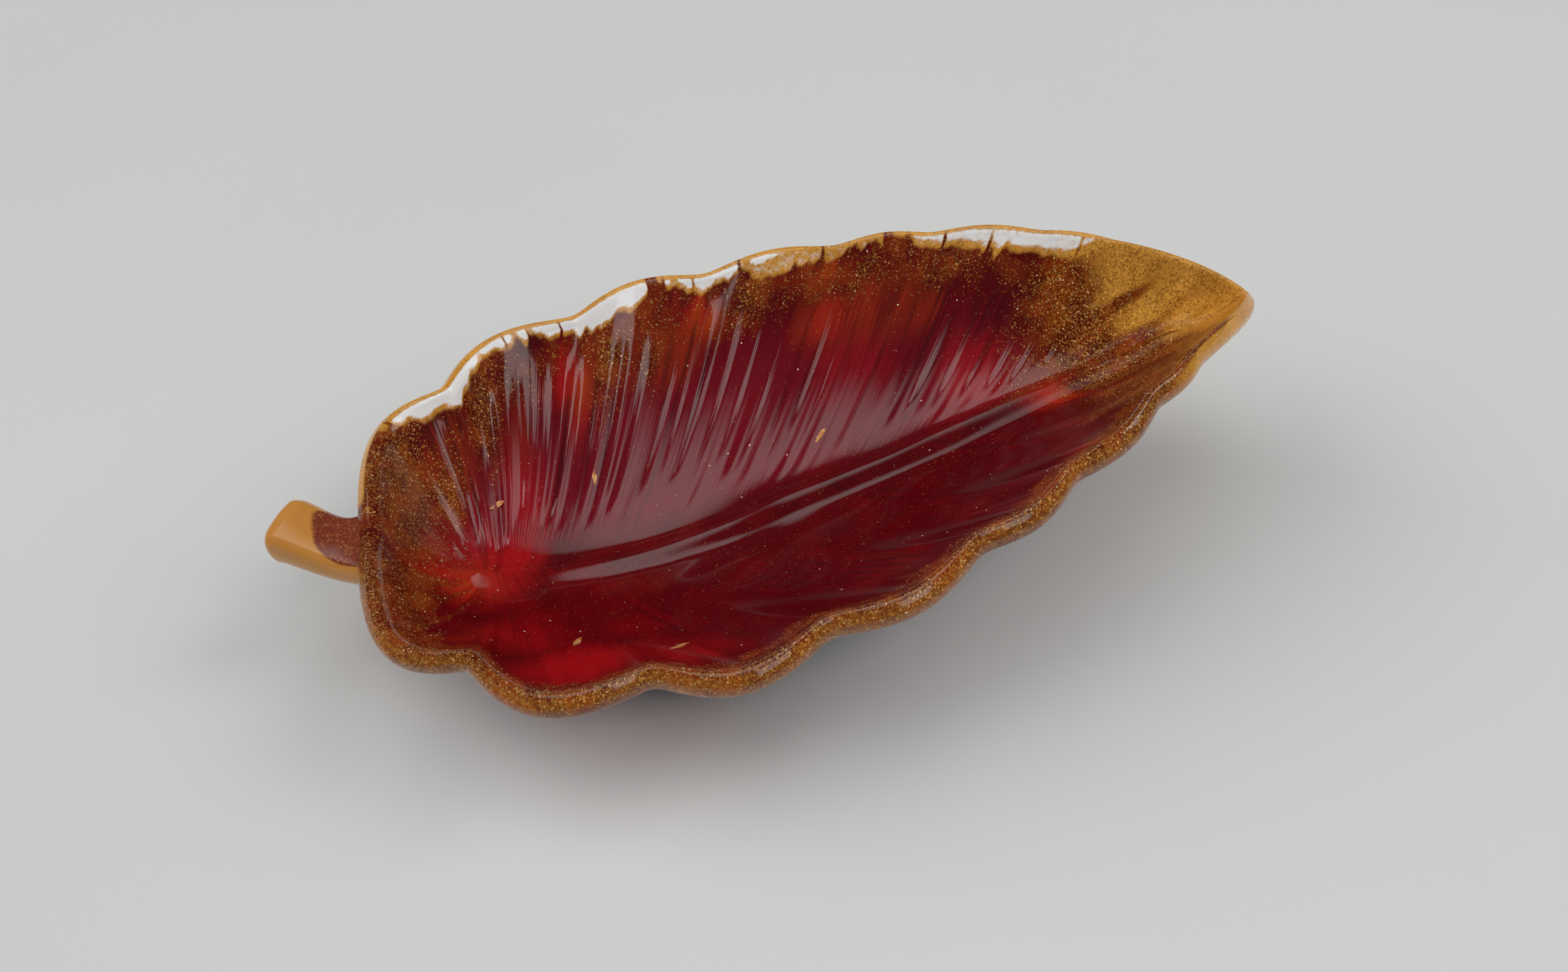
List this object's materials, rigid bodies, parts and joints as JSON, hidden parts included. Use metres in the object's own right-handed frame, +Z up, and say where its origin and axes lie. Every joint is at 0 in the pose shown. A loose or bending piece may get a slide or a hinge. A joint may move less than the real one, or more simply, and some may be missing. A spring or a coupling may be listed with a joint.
{
  "type": "ring dish",
  "caption": "Leaf-shaped ring dish cast in glossy coloured resin: red bowl with a midrib and fluted walls, scalloped gold-mica rim, clear far edge, amber stem and tip, flat base.",
  "frame": {"origin": "middle of the outline, on the table plane", "axes": "+X along the leaf from the stem to the tip, +Y across to the rim with the clear edge, +Z up"},
  "size_m": [0.153, 0.085, 0.0352],
  "materials": {
    "red_resin": "cast epoxy resin, glossy",
    "dark_resin": "cast epoxy resin, glossy",
    "gold_resin": "cast epoxy resin with gold mica, glossy",
    "clear_resin": "clear cast epoxy resin, glossy",
    "amber_resin": "amber cast epoxy resin, glossy",
    "copper_leaf": "copper-coloured metal leaf"
  },
  "bodies": {
    "root": {"red_bowl": "red_resin", "base_slab": "dark_resin", "gold_rim_front": "gold_resin", "gold_rim_back": "gold_resin", "clear_edge_back": "clear_resin", "amber_tip": "amber_resin", "amber_stem": "amber_resin", "metal_flake_1": "copper_leaf", "metal_flake_2": "copper_leaf", "metal_flake_3": "copper_leaf", "metal_flake_4": "copper_leaf", "metal_flake_5": "copper_leaf"}
  },
  "joints": []
}
